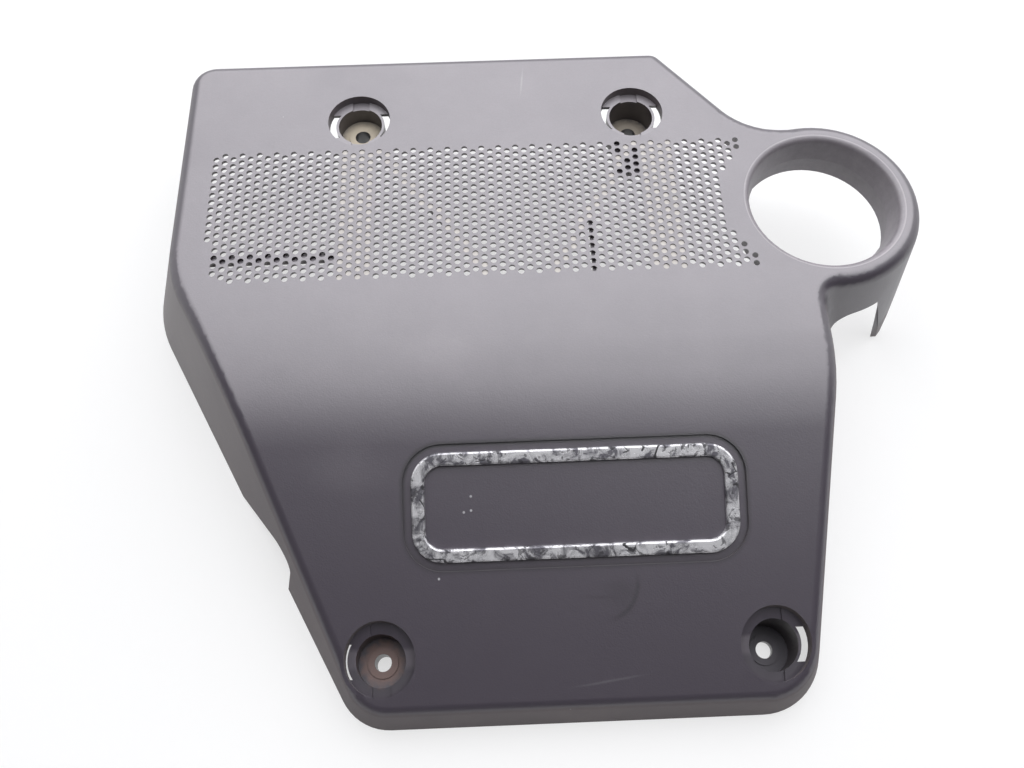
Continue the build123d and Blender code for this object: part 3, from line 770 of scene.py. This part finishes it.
class COVER_OT_badge(bpy.types.Operator):
    """Make the plain chrome frame on the sloping face"""

    bl_idname = "engine_cover.badge"
    bl_label = "Badge frame"

    def execute(self, context):
        badge = context.scene.cover_badge
        shape = bmesh.new()
        bmesh.ops.create_grid(shape, x_segments=1, y_segments=1, size=0.5)
        bmesh.ops.scale(shape, vec=(badge.outer_length, badge.outer_height, 1.0), verts=shape.verts)
        bmesh.ops.bevel(
            shape,
            geom=shape.verts[:],
            offset=badge.corner_round,
            offset_type="OFFSET",
            affect="VERTICES",
            segments=12,
            profile=0.5,
            material=-1,
        )
        outline = shape.faces[:]
        bmesh.ops.inset_region(
            shape, faces=outline, thickness=badge.band, use_even_offset=True, use_boundary=True
        )
        bmesh.ops.delete(shape, geom=outline, context="FACES_ONLY")
        grown = bmesh.ops.extrude_face_region(shape, geom=shape.faces[:], use_keep_orig=True)
        top = [item for item in grown["geom"] if isinstance(item, bmesh.types.BMVert)]
        bmesh.ops.translate(shape, vec=(0.0, 0.0, badge.thickness), verts=top)
        bmesh.ops.recalc_face_normals(shape, faces=shape.faces)
        rim = [edge for edge in shape.edges if self.on_rim(edge, badge.thickness)]
        bmesh.ops.bevel(
            shape,
            geom=rim,
            offset=badge.crown,
            offset_type="OFFSET",
            affect="EDGES",
            segments=4,
            profile=0.5,
            material=-1,
        )
        self.add_pins(shape, badge)
        bmesh.ops.translate(shape, vec=(0.0, 0.0, -badge.sink), verts=shape.verts)
        lie = Matrix.Translation(badge.middle) @ Matrix.Rotation(badge.slope, 4, "X")
        bmesh.ops.transform(shape, matrix=lie, verts=shape.verts)
        piece = mesh_object("badge_frame", shape)
        finish_piece(piece, flaking_chrome(badge), "badge_trim", BADGE_SHARP)
        return {"FINISHED"}

    def on_rim(self, edge, thickness):
        """Whether an edge lies between the band's top and one of its upright walls."""
        level = all(abs(vert.co.z - thickness) < SAME_PLACE for vert in edge.verts)
        return level and edge.calc_face_angle(0.0) > radians(45)

    def add_pins(self, shape, badge):
        """Four round pins behind the middle of each side."""
        half_length = (badge.outer_length - badge.band) / 2
        half_height = (badge.outer_height - badge.band) / 2
        for x, y in ((half_length, 0.0), (-half_length, 0.0), (0.0, half_height), (0.0, -half_height)):
            add_post(shape, (x, y), (badge.pin_radius, badge.pin_radius), 16, -badge.pin_length, 0.0)


class COVER_OT_stage(bpy.types.Operator):
    """Make the pale floor, the soft light and the camera"""

    bl_idname = "engine_cover.stage"
    bl_label = "Stage"

    def execute(self, context):
        stage = context.scene.cover_stage
        self.add_floor(stage)
        self.add_wall(stage)
        self.add_window(stage)
        self.set_room(context.scene, stage)
        self.add_camera(context.scene, stage)
        context.scene.view_settings.view_transform = "Standard"
        return {"FINISHED"}

    def add_floor(self, stage):
        shape = bmesh.new()
        bmesh.ops.create_grid(shape, x_segments=1, y_segments=1, size=stage.floor_size / 2)
        bmesh.ops.translate(shape, vec=(0.0, 0.0, -stage.floor_gap), verts=shape.verts)
        floor = mesh_object("floor", shape)
        floor.data.materials.append(self.pale("pale_floor", stage.floor_colour, stage.glow))

    def add_wall(self, stage):
        """Low white wall round the rear half, which the rounded edges reflect."""
        shape = bmesh.new()
        foot = shape.verts.new((stage.wall_reach, 0.0, 0.0))
        top = shape.verts.new((stage.wall_reach, 0.0, stage.wall_height))
        post = shape.edges.new((foot, top))
        bmesh.ops.spin(shape, geom=[foot, top, post], axis=(0.0, 0.0, 1.0), angle=pi, steps=48)
        wall = mesh_object("wall", shape)
        wall.data.materials.append(self.pale("pale_wall", stage.floor_colour, 1.0))

    def pale(self, name, tone, glow):
        """Pale to the camera and in reflections, by its glow, and matt where it is shaded."""
        finish = Finish(bpy.data.materials.new(name))
        seen = finish.node("ShaderNodeLightPath", output="Is Camera Ray")
        for ray in ("Is Glossy Ray", "Is Transmission Ray"):
            seen = seen.at_least(finish.node("ShaderNodeLightPath", output=ray))
        matt = finish.node("ShaderNodeBsdfDiffuse", sockets={"Color": tuple(tone) + (1.0,)})
        white = finish.node("ShaderNodeEmission", sockets={"Strength": 1.0})
        finish.surface(finish.node("ShaderNodeMixShader", sockets={0: seen * glow, 1: matt, 2: white}))
        return finish.owner

    def add_window(self, stage):
        """Large soft rectangular light that faces the cover from behind and above."""
        lamp = bpy.data.lights.new("window", "AREA")
        lamp.shape = "RECTANGLE"
        lamp.size = stage.window_width
        lamp.size_y = stage.window_height
        lamp.energy = stage.window_power
        lamp.color = stage.window_tint
        window = bpy.data.objects.new("window", lamp)
        window.location = stage.window_place
        cover_middle = (CAD_BOX[0] + CAD_BOX[1]) / 2
        window.rotation_euler = (cover_middle - window.location).to_track_quat("-Z", "Y").to_euler()
        bpy.context.scene.collection.objects.link(window)

    def set_room(self, scene, stage):
        """Dim grey light from all round, in front of a white background."""
        finish = Finish(bpy.data.worlds.new("room"))
        seen = finish.node("ShaderNodeLightPath", output="Is Camera Ray")
        level = stage.room + seen * (1.0 - stage.room)
        white = (1.0, 1.0, 1.0, 1.0)
        air = finish.node("ShaderNodeBackground", sockets={"Color": white, "Strength": level})
        finish.surface(air, "ShaderNodeOutputWorld")
        scene.world = finish.owner

    def add_camera(self, scene, stage):
        lens = bpy.data.cameras.new("camera")
        lens.lens = stage.lens
        lens.sensor_width = SENSOR_WIDTH
        lens.sensor_fit = "HORIZONTAL"
        lens.clip_start = NEAREST_SEEN
        camera = bpy.data.objects.new("camera", lens)
        camera.location = stage.camera_place
        camera.rotation_euler = Euler(stage.camera_turn)
        scene.collection.objects.link(camera)
        scene.camera = camera


class COVER_PT_panel(bpy.types.Panel):
    """Settings and steps of the engine cover"""

    bl_idname = "COVER_PT_panel"
    bl_label = "Engine cover"
    bl_space_type = "VIEW_3D"
    bl_region_type = "UI"
    bl_category = "Engine cover"

    def draw(self, context):
        for step in STEPS:
            self.layout.operator(step.bl_idname)
        for name, settings in SETTINGS.items():
            group = getattr(context.scene, name)
            self.layout.label(text=settings.__doc__)
            for key in settings.__annotations__:
                self.layout.prop(group, key)


STEPS = (COVER_OT_moulding, COVER_OT_badge, COVER_OT_stage)
SETTINGS = {
    "cover_field": FieldSettings,
    "cover_plastic": PlasticSettings,
    "cover_pots": PotSettings,
    "cover_badge": BadgeSettings,
    "cover_stage": StageSettings,
}


def register():
    for made in (*SETTINGS.values(), *STEPS, COVER_PT_panel):
        bpy.utils.register_class(made)
    for name, settings in SETTINGS.items():
        setattr(bpy.types.Scene, name, PointerProperty(type=settings))


def unregister():
    for name in SETTINGS:
        delattr(bpy.types.Scene, name)
    for made in (COVER_PT_panel, *reversed(STEPS), *SETTINGS.values()):
        bpy.utils.unregister_class(made)


def main():
    register()
    bpy.ops.engine_cover.moulding()
    bpy.ops.engine_cover.badge()
    bpy.ops.engine_cover.stage()


if __name__ == "__main__":
    main()
